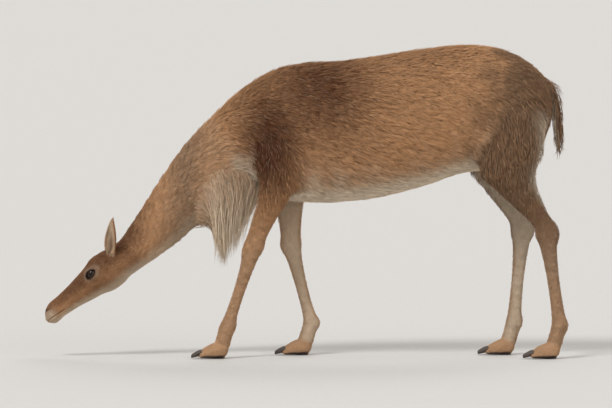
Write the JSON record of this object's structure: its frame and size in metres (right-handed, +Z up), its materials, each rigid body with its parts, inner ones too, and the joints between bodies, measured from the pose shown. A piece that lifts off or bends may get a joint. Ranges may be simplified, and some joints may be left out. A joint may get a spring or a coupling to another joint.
{
  "type": "vicuna",
  "caption": "Life-size vicuna standing still with its head lowered to graze, in a fine woolly fawn coat with long pale chest hair.",
  "frame": {"origin": "middle of the animal's length and width, on the floor under its feet", "axes": "+X from the head towards the tail, -Y to the animal's left side, +Z up"},
  "size_m": [1.4145, 0.298, 0.8475],
  "materials": {
    "coat_fawn": "fine dense wool, matte, cinnamon fawn, paler below",
    "hair_pale": "long silky off-white hair",
    "eye_dark": "wet, glossy, very dark brown",
    "nail_horn": "dark horn, satin"
  },
  "bodies": {
    "root": {"head": "coat_fawn", "neck": "coat_fawn", "trunk": "coat_fawn", "tail": "coat_fawn", "ear_left": "coat_fawn", "ear_right": "coat_fawn", "foreleg_left": "coat_fawn", "foreleg_right": "coat_fawn", "hindleg_left": "coat_fawn", "hindleg_right": "coat_fawn", "chest_hair": "hair_pale", "eye_left": "eye_dark", "eye_right": "eye_dark", "nail_foreleg_left_1": "nail_horn", "nail_foreleg_left_2": "nail_horn", "nail_foreleg_right_1": "nail_horn", "nail_foreleg_right_2": "nail_horn", "nail_hindleg_left_1": "nail_horn", "nail_hindleg_left_2": "nail_horn", "nail_hindleg_right_1": "nail_horn", "nail_hindleg_right_2": "nail_horn"}
  },
  "joints": []
}
